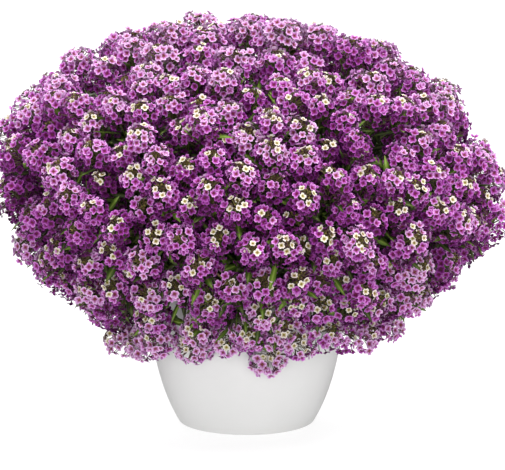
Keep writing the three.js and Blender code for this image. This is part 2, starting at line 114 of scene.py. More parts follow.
# Shades of the flowers, as places on the ramps of their petals
WHITE_SHADES = (0.02, 0.15)
PURPLE_SHADES = (0.29, 0.98)
AGE_SHADE = 0.5  # deeper at the edge of a dome than at its tip
AGE_BEND = 0.8  # power of the age with which the shade deepens
AGE_LIMIT = 1.3  # age from which it stays the same
AGE_STAGES = 4.4  # of petal shape, from the tip of a dome to its edge
SHADE_SCATTER = 0.09
HEAD_SHADE = (0.175, 0.09)  # mean and scatter of what a whole head adds
RECESS_PAINTED_SHADE = 0.03  # painted shade: more for each millimetre that the head lies below its neighbours
PROUD_PAINTED_LIGHT = -0.08  # the least of that, which paints light on a head that stands out
# Painted shade and light by height: heads are painted deepest at this height, and paler above and
# below it
DEEPEST_HEIGHT = 175
PAINTED_LIGHT_ABOVE = 0.0028  # painted light: paler for each millimetre above that height, and below it
PAINTED_LIGHT_BELOW = 0.0056
MOST_WHITES = 5
LOW_HEIGHT = 135  # below which a head has some more white flowers: younger flowers, and painted light on the dim low heads
LOW_WHITES = 2

# Stems
STEM_RADII = (2.1, 1.5)  # at its foot and at its end, as for stalks and twigs
STEM_SIDES = 7
FORK_RADIUS = 2.4
FORK_GAP = 3.9  # from the end of a main stem to the middle of its fork
STALK_RADII = (0.95, 0.55)
STALK_STEPS = 5
STALK_KNEE = (0.35, 0.06)  # first handle: shares of the reach to the head and along the stem
STALK_BEND = 0.3  # second handle: share of the reach, backwards from the head
RACHIS_RADIUS = 0.45
TWIG_RADII = (1.1, 0.5)
TWIG_SLICES = 7
STEM_SHADE = 0.85
STALK_SHADE = 0.55
TWIG_SHADE = 0.6
THREAD_SHADES = (0.08, 0.33)  # at the tip of a dome and at its edge
DARKEST_THREAD = 0.45

# Leaves. A row has a number of leaves, the place of the first and the step to the next as shares
# of the stem, and the lengths at both ends of the stem
STEM_LEAVES = (30, 0.1, 0.03, (38, 38))
STALK_LEAVES = (14, 0.05, 0.07, (38, 22))
TWIG_LEAVES = (18, 0.3, 0.7 / 17, (30, 20))
LEAF_WIDTH = (3.8, 5.8)
LEAF_CURLS = (0.4, 1.2, 2.0)
RIB_FOLD = -0.1  # height of the rib's upper side against the leaf's edges, in widths of the leaf
RIB_BACK = -0.26  # and of its back
LEAF_LEAN = (82, 40)  # degrees away from the stem at its foot and at its end
LEAF_LEAN_SCATTER = 10
LEAF_LENGTHS = (0.85, 1.15)  # range of a leaf's length, against the length for its place
LOWEST_LEAF = 76  # height that no leaf tip hangs below
LEAF_SHADES = (1.0, 0.7)  # deeper at the foot of a stem, inside the plant, than at its end: painted shade
LEAF_SHADE_SCATTER = 0.12
PAINTED_LIGHT_SHARE = 0.45  # of the leaves at the end of a stem that are painted much lighter: painted light
# How much lighter those leaves are painted: painted light
PAINTED_LIGHT_LIFT = 0.55
# A leaf is made from a ball: height and width of the leaf at twice the height of each ring
LEAF_OUTLINE = {-2: (0.0, 0.0), -1: (0.35, 0.8), 1: (0.72, 1.0), 2: (1.0, 0.0)}

# Pot and mix
POT_FOOT_RADIUS = 51
POT_BELLY = (73, 36)  # radius and height of the point that the wall's curve bends towards
POT_RIM_RADIUS = 77
POT_HEIGHT = 115
POT_WALL = 2.2
POT_FLOOR = 2.5
POT_SIDES = 96
POT_BASE_RING = 30
OUTER_STRETCH = (0.03, 0.965)  # shares of the wall's curve
INNER_STRETCH = (0.09, 0.97)
RIM_ROLL = 2.2
FOOT_ROUND = 1.5
INNER_ROUND = 2
DRAIN_HOLES = 6
DRAIN_RADIUS = 4.5
DRAIN_RING = 34
DRILL_LENGTH = 20
MIX_EDGE = 95  # height below which the mix keeps its plain shape, and the crown its own
CROWN_EDGE = 96
CRUMB_NOISE = (0.6, 2, 4)  # roughness, step between its octaves, and how many

SPRAY_SEED = 80  # for the random numbers of a spray, whose own number is added
TWIG_SEED = 100  # the same for a leafy shoot
CROWN_CENTRE = Vector((0, 0, 104)) * MM
CUSHION_CENTRE = Vector((0, 0, 150)) * MM

# Reading the frame's solids
MERGE_DISTANCE = 0.002
EDGE_TOLERANCE = 0.02  # share by which equal edges may differ
SHORT_EDGE = 2
SOLID_STEM_SIDES = 5

# Studio, in metres and degrees
FLOOR_RADIUS = 14
SKY_LIGHT = (0.15, 0.95)  # strength from below and from above
LAMPS = {
    "key": (4.45, 30, Vector((-0.2, 0.3, -0.9))),
    "fill": (1.8, 40, Vector((0.02, 1, -0.1))),
    "back": (3.1, 60, Vector((0.2, -0.9, -0.4))),
}  # strength, angle, direction
CAMERA_TARGET = Vector((0.0045, 0, 0.1416))
CAMERA_TILT = 10
CAMERA_DISTANCE = 2.0
CAMERA_SENSOR = 36  # millimetres
CAMERA_LENS = 190.1


def blend(pair, share):
    """A share of the way from the first of a pair to the second."""
    return pair[0] + (pair[1] - pair[0]) * share


def clamp(value, low, high):
    return min(high, max(low, value))


# ---------------------------------------------------------------- materials


def srgb(red, green, blue):
    """A colour from 0 to 255, as the shader's linear values."""

    def linear(value):
        share = value / 255
        return share / 12.92 if share <= 0.04045 else ((share + 0.055) / 1.055) ** 2.4

    return (linear(red), linear(green), linear(blue), 1)


def grey(value):
    return (value, value, value, 1)


class Shade:
    """A socket of a material's nodes. Sums on it add Math nodes, and node() adds any other."""

    def __init__(self, tree, socket=None):
        self.tree = tree
        self.socket = socket

    def node(self, kind, settings=None, inputs=None, output=0):
        made = self.tree.nodes.new(kind)
        for name, value in (settings or {}).items():
            if name == "stops":
                fill_ramp(made.color_ramp, value)
            else:
                setattr(made, name, value)
        for name, value in (inputs or {}).items():
            if isinstance(value, Shade):
                self.tree.links.new(value.socket, made.inputs[name])
            else:
                made.inputs[name].default_value = value
        return Shade(self.tree, made.outputs[output] if len(made.outputs) else None)

    def math(self, operation, first, second):
        return self.node("ShaderNodeMath", {"operation": operation}, {0: first, 1: second})

    def __add__(self, other):
        return self.math("ADD", self, other)

    def __sub__(self, other):
        return self.math("SUBTRACT", self, other)

    def __rsub__(self, other):
        return self.math("SUBTRACT", other, self)

    def __mul__(self, other):
        return self.math("MULTIPLY", self, other)

    __radd__ = __add__
    __rmul__ = __mul__

    def place(self):
        """Where a point lies on the object."""
        return self.node("ShaderNodeTexCoord", output="Object")

    def axis(self, index):
        """One of the three numbers of this socket's vector."""
        return self.node("ShaderNodeSeparateXYZ", inputs={0: self}, output=index)

    def between(self, low, high):
        """0 below low, 1 above high, and a smooth rise between them."""
        return self.node(
            "ShaderNodeMapRange",
            {"interpolation_type": "SMOOTHSTEP"},
            {"Value": self, "From Min": low, "From Max": high},
        )

    def ramp(self, *stops):
        return self.node("ShaderNodeValToRGB", {"stops": stops}, {"Fac": self})

    def mix(self, below, above):
        """Colour below where this socket is 0 and above where it is 1."""
        return self.node(
            "ShaderNodeMix", {"data_type": "RGBA"}, {0: self, 6: below, 7: above}, output=2
        )

    def noise(self, scale, detail=2, roughness=0.5):
        return self.node(
            "ShaderNodeTexNoise",
            inputs={"Vector": self, "Scale": scale, "Detail": detail, "Roughness": roughness},
        )

    def bump(self, strength, distance):
        return self.node(
            "ShaderNodeBump",
            inputs={"Height": self, "Strength": strength, "Distance": distance},
        )


def fill_ramp(ramp, stops):
    while len(ramp.elements) < len(stops):
        ramp.elements.new(1)
    for element, (place, colour) in zip(ramp.elements, stops):
        element.position = place
        element.color = colour


def material(name):
    """A new material and the start of its nodes."""
    made = bpy.data.materials.new(name)
    made.use_nodes = True
    made.node_tree.nodes.clear()
    return made, Shade(made.node_tree)


def finish(start, inputs):
    shader = start.node("ShaderNodeBsdfPrincipled", inputs=inputs)
    start.node("ShaderNodeOutputMaterial", inputs={"Surface": shader})


def shade_map(start):
    """The two directions of the shade map: heart to edge, and shade."""
    uv = start.node("ShaderNodeUVMap", {"uv_map": SHADE_MAP})
    return uv.axis(0), uv.axis(1)


def petal_finish():
    made, start = material("petals")
    across, shade = shade_map(start)
    throat = shade.ramp(
        (0.0, srgb(122, 112, 32)),
        (0.16, srgb(112, 96, 30)),
        (0.3, srgb(104, 40, 40)),
        (0.5, srgb(92, 16, 50)),
        (1.0, srgb(36, 4, 24)),
    )
    blade = shade.ramp(
        (0.0, srgb(186, 178, 148)),
        (0.16, srgb(184, 166, 152)),
        (0.3, srgb(168, 98, 163)),
        (0.5, srgb(144, 52, 140)),
        (0.75, srgb(100, 18, 96)),
        (1.0, srgb(54, 2, 48)),
    )
    rim = shade.ramp(
        (0.0, srgb(210, 205, 197)),
        (0.16, srgb(210, 199, 199)),
        (0.3, srgb(204, 168, 206)),
        (0.5, srgb(186, 122, 187)),
        (0.75, srgb(141, 62, 143)),
        (1.0, srgb(86, 18, 84)),
    )
    inner = across.between(0.2, 0.7).mix(throat, blade)
    finish(start, {
        "Base Color": across.between(0.55, 1.0).mix(inner, rim),
        "Roughness": across * 0.15 + 0.5,
        "Normal": start.place().noise(2600).bump(0.12, 0.0002),
        "Specular IOR Level": 0.12,
    })
    return made


def bud_finish():
    made, start = material("buds")
    across, shade = shade_map(start)
    foot = shade.ramp((0.0, srgb(96, 94, 34)), (0.5, srgb(66, 62, 22)), (1.0, srgb(46, 38, 20)))
    tip = shade.ramp((0.0, srgb(130, 112, 60)), (0.4, srgb(76, 42, 38)), (1.0, srgb(54, 20, 42)))
    finish(start, {
        "Base Color": across.between(0.35, 0.95).mix(foot, tip),
        "Roughness": 0.62 - across * 0.1,
        "Normal": start.place().noise(2000).bump(0.15, 0.0002),
        "Specular IOR Level": 0.2,
    })
    return made


def green_finish():
    """Stems are green to brown. On thin stalks the shade map runs on to the calyx."""
    made, start = material("green_stems")
    across, shade = shade_map(start)
    skin = shade.ramp(
        (0.0, srgb(128, 122, 66)),
        (0.2, srgb(104, 98, 54)),
        (0.45, srgb(82, 60, 48)),
        (0.55, srgb(68, 74, 30)),
        (1.0, srgb(46, 46, 20)),
    )
    calyx = shade.ramp(
        (0.0, srgb(132, 122, 78)),
        (0.2, srgb(104, 70, 76)),
        (0.45, srgb(70, 30, 58)),
    )
    finish(start, {
        "Base Color": across.between(0.6, 0.95).mix(skin, calyx),
        "Roughness": 0.55 - across * 0.1,
        "Normal": start.place().noise(900, 3).bump(0.2, 0.0004),
        "Specular IOR Level": 0.2,
    })
    return made


def leaf_finish():
    made, start = material("leaves")
    across, shade = shade_map(start)
    # Near black at its deep end for painted shade on leaves inside the plant, and pale at its light
    # end for painted light on some leaves at the ends of stems
    blade = shade.ramp(
        (0.0, srgb(90, 116, 34)),
        (0.4, srgb(62, 86, 22)),
        (0.7, srgb(44, 58, 18)),
        (1.0, srgb(30, 32, 14)),
    )
    rib = shade.ramp((0.0, srgb(118, 140, 56)), (1.0, srgb(40, 34, 22)))
    finish(start, {
        "Base Color": across.between(0.05, 0.4).mix(rib, blade),
        "Roughness": across * 0.12 + 0.46,
        "Normal": start.place().noise(1400, 3).bump(0.25, 0.0003),
        "Specular IOR Level": 0.2,
    })
    return made


def pot_finish():
    """White plastic with a little dust towards its foot."""
    made, start = material("pot_plastic")
    place = start.place()
    cloud = place.noise(14, 4, 0.55)
    foot = 1 - place.axis(2).between(0.0, 0.012)
    dust = foot * cloud.between(0.35, 0.75) * 0.1
    white = cloud.ramp((0.3, srgb(205, 205, 204)), (0.7, srgb(211, 211, 210)))
    finish(start, {
        "Base Color": dust.mix(white, srgb(190, 186, 178)),
        "Roughness": cloud * 0.12 + 0.3,
        "Normal": place.noise(900).bump(0.06, 0.0002),
    })
    return made


def mix_finish():
    made, start = material("potting_mix")
    place = start.place()
    crumbs = place.noise(260, 5, 0.7)
    patches = place.noise(60, 3)
    peat = crumbs.ramp(
        (0.25, srgb(26, 18, 13)), (0.5, srgb(58, 42, 30)), (0.75, srgb(104, 80, 58))
    )
    finish(start, {
        "Base Color": patches.between(0.4, 0.7).mix(peat, srgb(52, 38, 26)),
        "Roughness": crumbs * 0.2 + 0.75,
        "Normal": crumbs.bump(0.8, 0.002),
    })
    return made


def bark_finish():
    made, start = material("woody_crown")
    stretched = start.node(
        "ShaderNodeMapping", inputs={"Vector": start.place(), "Scale": (1, 1, 0.25)}
    )
    streaks = stretched.noise(420, 4, 0.6)
    finish(start, {
        "Base Color": streaks.ramp(
            (0.3, srgb(70, 56, 34)), (0.55, srgb(120, 104, 62)), (0.8, srgb(150, 140, 90))
        ),
        "Roughness": streaks * 0.2 + 0.65,
        "Normal": streaks.bump(0.7, 0.001),
    })
    return made


def floor_finish():
    """White to look at, and for other light matt, with a soft glow in front of the pot."""
    made, start = material("floor")
    place = start.place()
    seen = start.node("ShaderNodeLightPath", output="Is Camera Ray")
    matt = place.noise(3).ramp((0.3, grey(0.28)), (0.7, grey(0.32)))
    glow = place.axis(1).between(-0.07, 0.08).mix(grey(0.75), grey(0.1))
    finish(start, {
        "Base Color": seen.mix(matt, grey(0.2)),
        "Emission Color": seen.mix(glow, grey(0.84)),
        "Emission Strength": 1.0,
        "Roughness": 0.9,
        "Specular IOR Level": 0.1,
    })
    return made


# ------------------------------------------------------- shapes of one kind


def to_mesh(name, bm):
    """Turns a finished bmesh into a mesh."""
    mesh = bpy.data.meshes.new(name)
    bm.to_mesh(mesh)
    bm.free()
    return mesh


def soften(bm, degrees):
    """Shades a shape smoothly, except across edges sharper than an angle."""
    for face in bm.faces:
        face.smooth = True
    for edge in bm.edges:
        edge.smooth = edge.calc_face_angle(0) < math.radians(degrees)


def template(bm, name, across):
    """A mesh to be stamped many times. across holds each point's place from heart to edge."""
    layer = bm.loops.layers.uv.new(SHADE_MAP)
    for face in bm.faces:
        for corner in face.loops:
            corner[layer].uv = (across[corner.vert], 0.5)
    soften(bm, 70)
    return to_mesh(name, bm)


def stamp(bm, mesh, matrix, shade):
    """Adds a copy of a template to bm in its own place and shade."""
    copy = mesh.copy()
    copy.transform(matrix)
    for corner in copy.uv_layers[SHADE_MAP].uv:
        corner.vector.y = shade
    bm.from_mesh(copy)
    bpy.data.meshes.remove(copy)


def placed(at, direction, size, turn=0.0):
    """Sets a template down at a place, its own Z along direction."""
    facing = direction.to_track_quat("Z", "Y").to_matrix().to_4x4()
    scale = Matrix.Diagonal((*size, 1))
    return Matrix.Translation(at) @ facing @ Matrix.Rotation(turn, 4, "Z") @ scale


def leaf_place(at, direction, face, size):
    """Sets a leaf down at its foot, its upper side turned to face."""
    along = direction.normalized()
    upper = (face - along * face.dot(along)).normalized()
    turned_to = Matrix((upper.cross(along), upper, along)).transposed().to_4x4()
    return Matrix.Translation(at) @ turned_to @ Matrix.Diagonal((*size, 1))


def spike(bm, sides):
    """Adds a closed cone to be shaped: the corners of its foot, clockwise, and its point."""
    made = bmesh.ops.create_cone(bm, cap_ends=True, segments=sides, radius1=1, radius2=0, depth=1)
    return made["verts"][:-1], made["verts"][-1]


def petal(rise, outline):
    """A closed petal along Y. outline holds half its corners as width and length, from its claw."""
    bm = bmesh.new()
    corners = [(-wide, out) for wide, out in outline]
    corners += [(wide, out) for wide, out in outline[:0:-1] if wide]
    foot, top = spike(bm, len(corners))
    across = {top: 0.5}
    for point, (wide, out) in zip(foot, corners):
        across[point] = 1.0 if out else 0.0
        point.co = (wide, THROAT_RADIUS + PETAL_LENGTH * out, rise * out**PETAL_BEND)
    height = rise * PETAL_MIDDLE**PETAL_BEND + PETAL_DOME
    top.co = (0, THROAT_RADIUS + PETAL_LENGTH * PETAL_MIDDLE, height)
    return template(bm, "petal", across)


def flower(rise, outline, has_heart=False):
    """Four petals, with or without a small heart between them, facing Z."""
    blade = petal(rise, outline)
    bm = bmesh.new()
    for quarter in range(PETALS):
        copy = blade.copy()
        copy.transform(Matrix.Rotation(quarter * math.tau / PETALS, 4, "Z"))
        bm.from_mesh(copy)
        bpy.data.meshes.remove(copy)
    bpy.data.meshes.remove(blade)
    layer = bm.loops.layers.uv[SHADE_MAP]
    if has_heart:
        foot, top = spike(bm, 4)
        for point in foot + [top]:
            point.co = Vector((*(point.co.xy * HEART_RADIUS), point.co.z + HEART_LIFT))
            for corner in point.link_loops:
                corner[layer].uv = (0.0, 0.5)
    return to_mesh("flower", bm)


def flower_stages():
    """The shapes of a flower from new to old. The newest has a heart between its petals."""
    newest, *later, oldest = PETAL_RISES
    stages = [flower(newest, ROUND_PETAL, has_heart=True)]
    stages += [flower(rise, ROUND_PETAL) for rise in later]
    return stages + [flower(oldest, OLD_PETAL)]


def pedicel():
    """A thread-like stalk of unit length along Z that widens into its calyx."""
    bm = bmesh.new()
    wide, thin = spike(bm, 3)
    across = {thin: 0.0}
    for point in wide:
        point.co = (-point.co.x * CALYX_RADIUS, point.co.y * CALYX_RADIUS, 1)
        across[point] = 1.0
    thin.co = (0, 0, 0)
    return template(bm, "pedicel", across)


def bud():
    """A closed bud that stands on its own foot along Z."""
    bm = bmesh.new()
    bmesh.ops.create_uvsphere(bm, u_segments=4, v_segments=2, radius=1)
    across = {}
    for point in bm.verts:
        x, y, z = point.co
        across[point] = (z + 1) / 2
        height = z * 0.9 + 1 + 0.1 * z * z
        point.co = (x * BUD_WIDTH / 2, y * BUD_WIDTH / 2, height * BUD_LENGTH / 2)
    return template(bm, "bud", across)


def leaf(curl):
    """A lance-shaped leaf of unit length and width along Z, its upper face to Y."""
    bm = bmesh.new()
    bmesh.ops.create_uvsphere(bm, u_segments=4, v_segments=3, radius=1)
    across = {}
    for point in bm.verts:
        x, y, z = point.co
        height, width = LEAF_OUTLINE[round(z * 2)]
        side = (x > 0.3) - (x < -0.3)
        fold = 0.0 if side else (RIB_FOLD if y > 0 else RIB_BACK)
        point.co = (side * width / 2, fold * width - curl * height**2, height)
        across[point] = 1.0 if side else 0.0
    return template(bm, "leaf", across)


def sweep(points, radii, sides=4):
    """A closed round stem through the points."""
    bm = bmesh.new()
    last = len(points) - 1
    rings = []
    for index, (point, radius) in enumerate(zip(points, radii)):
        along = points[min(index + 1, last)] - points[max(index - 1, 0)]
        ring = bmesh.ops.create_circle(
            bm,
            cap_ends=index in (0, last),
            segments=sides,
            radius=radius,
            matrix=placed(point, along, (1, 1, 1)),
        )
        rings.append(set(ring["verts"]))
    for lower, upper in zip(rings, rings[1:]):
        edges = [e for e in bm.edges if set(e.verts) <= lower or set(e.verts) <= upper]
        bmesh.ops.bridge_loops(bm, edges=edges)
    bmesh.ops.recalc_face_normals(bm, faces=bm.faces)
    return template(bm, "stem", {point: 0.2 for point in bm.verts})


def taper(radii, count, steps):
    """The radii in metres of the points of a stem that thins out over some steps."""
    return [blend(radii, index / steps) * MM for index in range(count)]


def curve_points(start, knee, bend, end, steps):
    """Points along a cubic Bezier curve."""
    points = []
    for step in range(steps + 1):
        t = step / steps
        s = 1 - t
        point = start * s**3 + knee * 3 * s * s * t + bend * 3 * s * t * t + end * t**3
        points.append(point)
    return points


# ------------------------------------------------------- reading the frame


def numbered(kind):
    """The numbers of the frame's nodes of one kind."""
    return [int(name[-2:]) for name in sorted(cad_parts) if name.startswith(kind)]


def merged(node):
    """A CAD node's mesh with its loose corners joined."""
    bm = bmesh.new()
    bm.from_mesh(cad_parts[node].data)
    bmesh.ops.remove_doubles(bm, verts=bm.verts, dist=MERGE_DISTANCE * MM)
    return bm


def middle(points):
    points = list(points)
    return sum(points, Vector()) / len(points)


class Head:
    """A flower head: its tip, the way it points, and its size."""

    def __init__(self, tip, ring):
        heart = middle(ring)
        self.tip = tip
        self.along = (tip - heart).normalized()
        self.radius = (ring[0] - heart).length / RING_SHARE
        self.base = tip - self.along * HEAD_LENGTH * self.radius
        self.side = self.along.orthogonal().normalized()
        self.other = self.along.cross(self.side)
        self.oval = 1

    def settle(self, every_head):
        """Fits the head in between its neighbours."""
        nearest = sorted(every_head, key=lambda other: (other.tip - self.tip).length)
        near = nearest[1 : ROOM_NEIGHBOURS + 1]
        distances = [(other.tip - self.tip).length for other in near]
        self.fill_out(sum(distances) / len(distances) * ROOM_SHARE)
        self.sink(nearest[1 : RECESS_NEIGHBOURS + 1])

    def fill_out(self, room):
        """Sets the dome of flowers, as wide as there is room for."""
        low, high = (share * self.radius for share in DOME_SHARE)
        self.dome = clamp(room, low, high)
        self.spread = (self.dome / low) ** SPREAD_GROWTH
        self.centre = self.tip - self.along * self.dome

    def sink(self, others):
        """Sets how far the tip lies below those of its neighbours, which paints shade on its
        flowers.
        """
        outwards = (self.tip - CUSHION_CENTRE).normalized()
        heights = [(other.tip - self.tip).dot(outwards) for other in others]
        self.recess = sum(heights) / len(heights)

    def around(self, turn):
        """A direction across the head, longer one way than the other."""
        return self.side * math.cos(turn) * self.oval + self.other * math.sin(turn) / self.oval


def find_heads(node):
    """The heads of a spray: a tip has four neighbours, all equally far from it."""
    bm = merged(node)
    heads = []
    for point in bm.verts:
        lengths = [edge.calc_length() for edge in point.link_edges]
        spread = max(lengths) - min(lengths)
        if len(lengths) == 4 and spread < EDGE_TOLERANCE * max(lengths):
            ring = [edge.other_vert(point).co.copy() for edge in point.link_edges]
            heads.append(Head(point.co.copy(), ring))
    bm.free()
    return heads


def stem_line(node):
    """The middle of each ring of a stem's solid, from the crown outwards."""
    bm = merged(node)
    here = min(bm.verts, key=lambda point: (point.co - CROWN_CENTRE).length)
    if len(here.link_edges) != SOLID_STEM_SIDES:
        here = next(e.other_vert(here) for e in here.link_edges if is_pole(e.other_vert(here)))
    seen = {here}
    ring = [edge.other_vert(here) for edge in here.link_edges]
    points = []
    while len(ring) > 1:
        points.append(middle(point.co for point in ring))
        seen.update(ring)
        ring = list({e.other_vert(p) for p in ring for e in p.link_edges} - seen)
    bm.free()
    return points


def is_pole(point):
    """Whether a point is the middle of a stem's end: its edges are all short, or all long."""
    return len({edge.calc_length() > SHORT_EDGE * MM for edge in point.link_edges}) == 1


def slices(node, count):
    """The middle of a shoot's solid in each of some steps outwards from the crown."""
    reach = [(p.co.copy(), (p.co - CROWN_CENTRE).length) for p in merged(node).verts]
    near = min(far for _, far in reach)
    span = max(far for _, far in reach) - near
    groups = [[] for _ in range(count)]
    for place, far in reach:
        groups[min(int((far - near) / span * count), count - 1)].append(place)
    return [middle(group) for group in groups if group]


# --------------------------------------------------------------- the plant


def leafy(bm, points, shapes, row, dice):
    """Sets a row of leaves in a spiral along a stem."""
    count, lowest, pitch, lengths = row
    first = dice.uniform(0, math.tau)
    for index in range(count):
        share = lowest + pitch * index
        place = share * (len(points) - 1)
        step = min(int(place), len(points) - 2)
        at = points[step].lerp(points[step + 1], place - step)
        along = (points[step + 1] - points[step]).normalized()
        side = along.orthogonal().normalized()
        around = Matrix.Rotation(first + index * GOLDEN_TURN, 3, along) @ side
        lean = math.radians(blend(LEAF_LEAN, share) + dice.gauss(0, LEAF_LEAN_SCATTER))
        out = along * math.cos(lean) + around * math.sin(lean)
        length = blend(lengths, share) * dice.uniform(*LEAF_LENGTHS) * MM
        if (at + out * length).z < LOWEST_LEAF * MM:
            continue
        width = dice.uniform(*LEAF_WIDTH) * MM
        # Painted light makes some leaves towards the end of a stem much lighter; painted shade
        # deepens the rest towards the stem's foot
        painted_light = PAINTED_LIGHT_LIFT if dice.random() < PAINTED_LIGHT_SHARE * share else 0
        shade = clamp(dice.gauss(blend(LEAF_SHADES, share) - painted_light, LEAF_SHADE_SCATTER), 0, 1)
        stamp(bm, dice.choice(shapes), leaf_place(at, out, along, (width, width, length)), shade)


def flower_places(head, dice):
    """Spirals down a head from its buds: each flower's age, place, facing and foot."""
    head.oval = math.exp(dice.gauss(0, OVAL_SCATTER))
    cap = math.tau * head.dome**2
    skirt = dice.uniform(*SKIRT) * MM
    whole = cap + math.tau * head.dome * skirt
    free = (head.tip.z / MM - SAG_HEIGHTS[0]) / (SAG_HEIGHTS[1] - SAG_HEIGHTS[0])
    sag = Vector((0, 0, -SAG * clamp(free, 0, 1)))
    area = math.pi * (BUD_RING * MM) ** 2
    turn = dice.uniform(0, math.tau)
    while area < whole:
        lean = math.acos(max(0, 1 - area / cap)) + dice.gauss(0, LEAN_SCATTER)
        drop = max(0, area - cap) / (math.tau * head.dome)
        around = head.around(turn + dice.gauss(0, TURN_SCATTER))
        reach = head.dome * (1 + dice.gauss(0, REACH_SCATTER)) - SKIRT_TAPER * drop
        up = math.cos(lean) * reach - drop
        place = head.centre + around * math.sin(lean) * reach + head.along * up + sag * drop
        look = lean * OUTWARD_LOOK + SKIRT_LOOK * drop / skirt + dice.gauss(0, LOOK_SCATTER)
        facing = head.along * math.cos(look) + around * math.sin(look)
        facing += head.along.cross(around) * dice.gauss(0, LOOK_SCATTER)
        below = THREAD_FALL[0] * MM + THREAD_FALL[1] * reach * math.sin(lean)
        foot = head.centre + head.along * (up - below) + sag * drop * THREAD_SAG
        yield area / cap, place, facing.normalized(), foot
        turn += GOLDEN_TURN
        area += (SKIRT_PATCH if drop else blend(FLOWER_PATCH, area / cap)) * head.spread * MM**2


def buried(place, head, heads):
    """Whether a place lies deep inside the dome of another head."""
    return any(
        (place - other.centre).length < other.dome - HIDDEN_DEPTH * MM
        for other in heads
        if other is not head
    )


def head_tone_and_painted_shade(head, dice):
    """A head's part of its flowers' shade: random tone, painted shade in hollows, painted light at
    top and foot.
    """
    above = head.tip.z / MM - DEEPEST_HEIGHT
    painted_hollow_shade = max(PROUD_PAINTED_LIGHT, RECESS_PAINTED_SHADE * head.recess / MM)
    return dice.gauss(*HEAD_SHADE) + painted_hollow_shade - max(PAINTED_LIGHT_ABOVE * above, -PAINTED_LIGHT_BELOW * above)


def flower_stage(age, dice):
    """Which of the shapes a flower has, from new to old."""
    if age > 1:
        return OLDEST
    return min(OLDEST - 1, int(age * AGE_STAGES + dice.uniform(0, 1)))


def purple_shade(age, depth, dice):
    """The shade of a flower, which deepens as it gets older, with its head's tone, painted shade
    and painted light.
    """
    aged = AGE_SHADE * min(AGE_LIMIT, age) ** AGE_BEND
    shade = PURPLE_SHADES[0] + aged + depth + dice.gauss(0, SHADE_SCATTER)
    return clamp(shade, *PURPLE_SHADES)


def dress_head(head, heads, parts, shapes, dice):
    """Adds the flowers, their thin stalks and the bud cluster of one head."""
    whites = dice.randint(0, MOST_WHITES)
    # Low heads get more white flowers: younger flowers, and painted light where they hang low
    if head.tip.z < LOW_HEIGHT * MM:
        whites += LOW_WHITES
    # The head's random tone, painted shade if it lies in a hollow, and painted light at the top and
    # foot of the plant
    depth = head_tone_and_painted_shade(head, dice)
    for index, (age, place, facing, foot) in enumerate(flower_places(head, dice)):
        if buried(place, head, heads):
            continue
        stage = flower_stage(age, dice)
        if index < whites:
            stage = 0
            shade = dice.uniform(*WHITE_SHADES)
            size = WHITE_SIZE
        else:
            shade = purple_shade(age, depth, dice)
            size = PURPLE_SIZE * head.spread**SIZE_GROWTH
        size *= dice.uniform(*SIZE_RANGE) * MM
        turn = dice.uniform(0, math.tau)
        matrix = placed(place, facing, (size,) * 3, turn)
        stamp(parts["flowers"], shapes["flowers"][stage], matrix, shade)
        reach = place - facing * CALYX_GAP * MM - foot
        thread = placed(foot, reach, (MM, MM, reach.length), turn)
        thread_shade = min(DARKEST_THREAD, blend(THREAD_SHADES, age))
        stamp(parts["stalks"], shapes["pedicel"], thread, thread_shade)
    add_buds(head, parts["buds"], shapes["bud"], dice)


def add_buds(head, bm, shape, dice):
    """Adds the cluster of buds at a head's tip."""
    for index in range(BUDS):
        lean = math.sqrt((index + FIRST_BUD) / BUDS) * BUD_SPREAD
        around = head.around(index * GOLDEN_TURN)
        out = head.along * math.cos(lean) + around * math.sin(lean)
        at = head.tip - head.along * BUD_DEPTH * MM + out * BUD_CLUSTER * MM
        size = blend(BUD_SIZES, index / BUDS) * MM
        shade = clamp(dice.gauss(*BUD_SHADE), 0, 1)
        stamp(bm, shape, placed(at, out, (size,) * 3, index), shade)


def stalk_line(head, fork, along):
    """The points of a head's stalk, from the fork to the foot of the head."""
    whole = head.base - fork
    share, lift = STALK_KNEE
    knee = fork + whole * share + along * whole.length * lift
    bend = head.base - head.along * whole.length * STALK_BEND
    return curve_points(fork, knee, bend, head.base, STALK_STEPS)


def dress_spray(number, heads, every_head, shapes, finishes):
    """Makes the flowers, buds, green stems and leaves of one spray."""
    dice = random.Random(SPRAY_SEED + number)
    spray = f"flower_spray_{number:02d}"
    stem = f"main_stem_{number:02d}"
    parts = {name: bmesh.new() for name in ("flowers", "buds", "stalks", "leaves")}
    line = stem_line(stem)
    along = (line[-1] - line[-2]).normalized()
    fork = line[-1] + along * FORK_GAP * MM
    stem_radii = taper(STEM_RADII, len(line), len(line)) + [FORK_RADIUS * MM]
    stamp(parts["stalks"], sweep(line + [fork], stem_radii, STEM_SIDES), Matrix(), STEM_SHADE)
    leafy(parts["leaves"], line, shapes["leaves"], STEM_LEAVES, dice)
    stalk_radii = taper(STALK_RADII, STALK_STEPS + 1, STALK_STEPS) + [RACHIS_RADIUS * MM]
    for head in heads:
        path = stalk_line(head, fork, along)
        top = head.tip - head.along * BUD_DEPTH * MM
        stamp(parts["stalks"], sweep(path + [top], stalk_radii), Matrix(), STALK_SHADE)
        leafy(parts["leaves"], path, shapes["leaves"], STALK_LEAVES, dice)
        reach = NEIGHBOUR_DISTANCE * MM
        near = [other for other in every_head if (other.centre - head.centre).length < reach]
        dress_head(head, near, parts, shapes, dice)
    nodes = {"stalks": (spray, stem)}
    for name, bm in parts.items():
        made = piece(f"{name}_{number:02d}", bm, name, finishes)
        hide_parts(*nodes.get(name, (spray,)))


